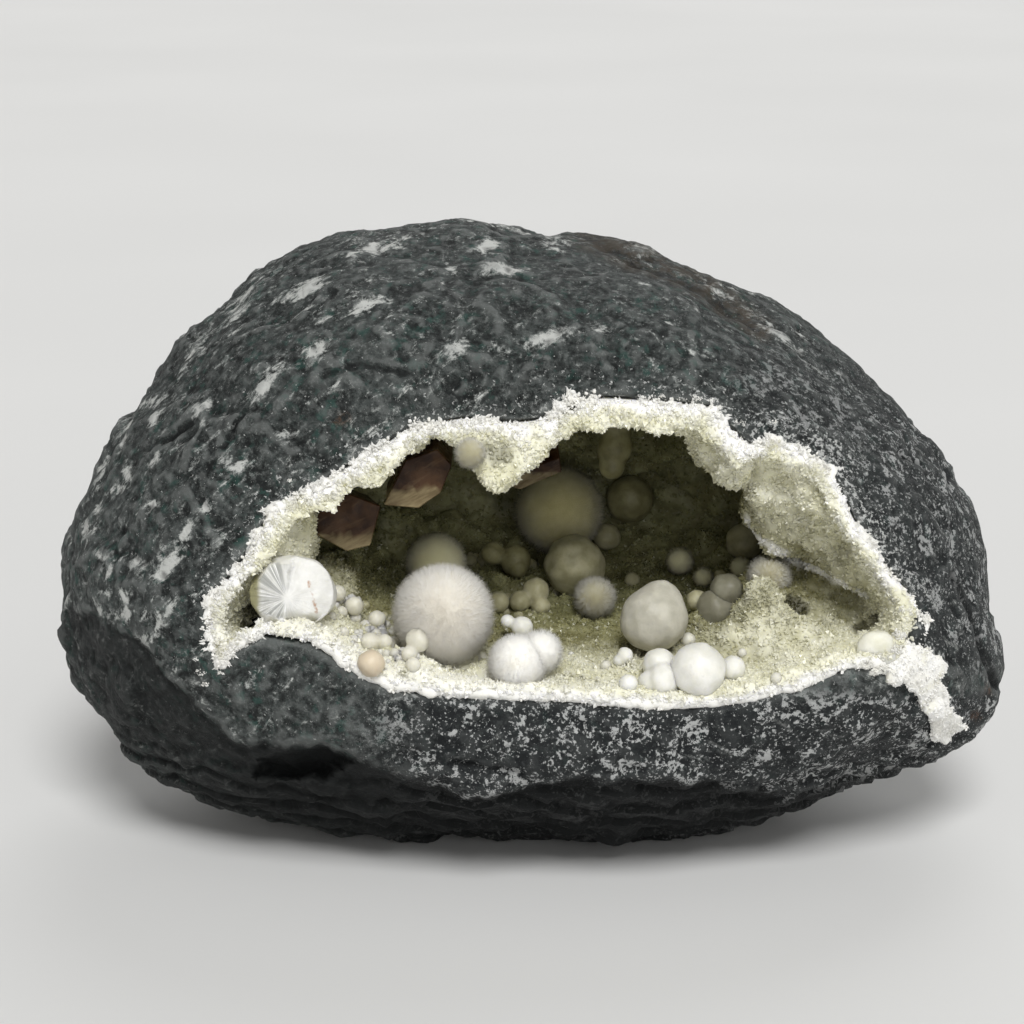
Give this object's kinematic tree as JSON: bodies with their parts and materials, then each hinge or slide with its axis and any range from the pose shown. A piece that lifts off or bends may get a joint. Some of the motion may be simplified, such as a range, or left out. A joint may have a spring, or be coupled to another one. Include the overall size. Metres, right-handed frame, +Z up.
{
  "type": "okenite puffball specimen",
  "caption": "Hollow basalt boulder lined with a pale crystal druse, holding fuzzy white okenite puffballs, smooth waxy balls and brown calcite blades.",
  "frame": {"origin": "on the floor under the middle of the specimen's bounding box", "axes": "+X along the boulder's long side, -Y towards the mouth of the hollow, +Z up, off the flat patch it rests on"},
  "size_m": [0.18, 0.1096, 0.1107],
  "materials": {
    "basalt": "rough broken stone",
    "druse": "sparkling fine crystals",
    "okenite_fibre": "fuzzy, matt",
    "waxy_mineral": "smooth, waxy, slightly translucent",
    "calcite": "glossy cleavage faces, translucent"
  },
  "bodies": {
    "root": {"basalt_boulder": "basalt", "druse_crust": "druse", "ball_back_cluster": "waxy_mineral", "ball_back_right": "waxy_mineral", "ball_back_small": "waxy_mineral", "ball_below_cluster": "waxy_mineral", "ball_beside_puffball": "waxy_mineral", "ball_cleaved": "waxy_mineral", "ball_egg": "waxy_mineral", "ball_faceted": "waxy_mineral", "ball_front_cluster": "waxy_mineral", "ball_front_large": "waxy_mineral", "ball_front_left": "waxy_mineral", "ball_front_right": "waxy_mineral", "ball_half": "waxy_mineral", "ball_left_cluster": "waxy_mineral", "ball_left_pair": "waxy_mineral", "ball_left_row_a": "waxy_mineral", "ball_left_row_b": "waxy_mineral", "ball_left_row_c": "waxy_mineral", "ball_lip": "waxy_mineral", "ball_middle_cluster": "waxy_mineral", "ball_peach": "waxy_mineral", "ball_pear": "waxy_mineral", "ball_right_lower": "waxy_mineral", "ball_right_small": "waxy_mineral", "ball_right_upper": "waxy_mineral", "calcite_blade_left": "calcite", "calcite_blade_roof": "calcite", "calcite_blade_sliver": "calcite", "puffball_back": "okenite_fibre", "puffball_behind": "okenite_fibre", "puffball_front_pair": "okenite_fibre", "puffball_large": "okenite_fibre", "puffball_middle": "okenite_fibre", "puffball_right": "okenite_fibre", "puffball_right_dim": "okenite_fibre", "puffball_right_small": "okenite_fibre", "puffball_right_tiny": "okenite_fibre", "puffball_rim": "okenite_fibre", "stalactite": "waxy_mineral"}
  },
  "joints": []
}
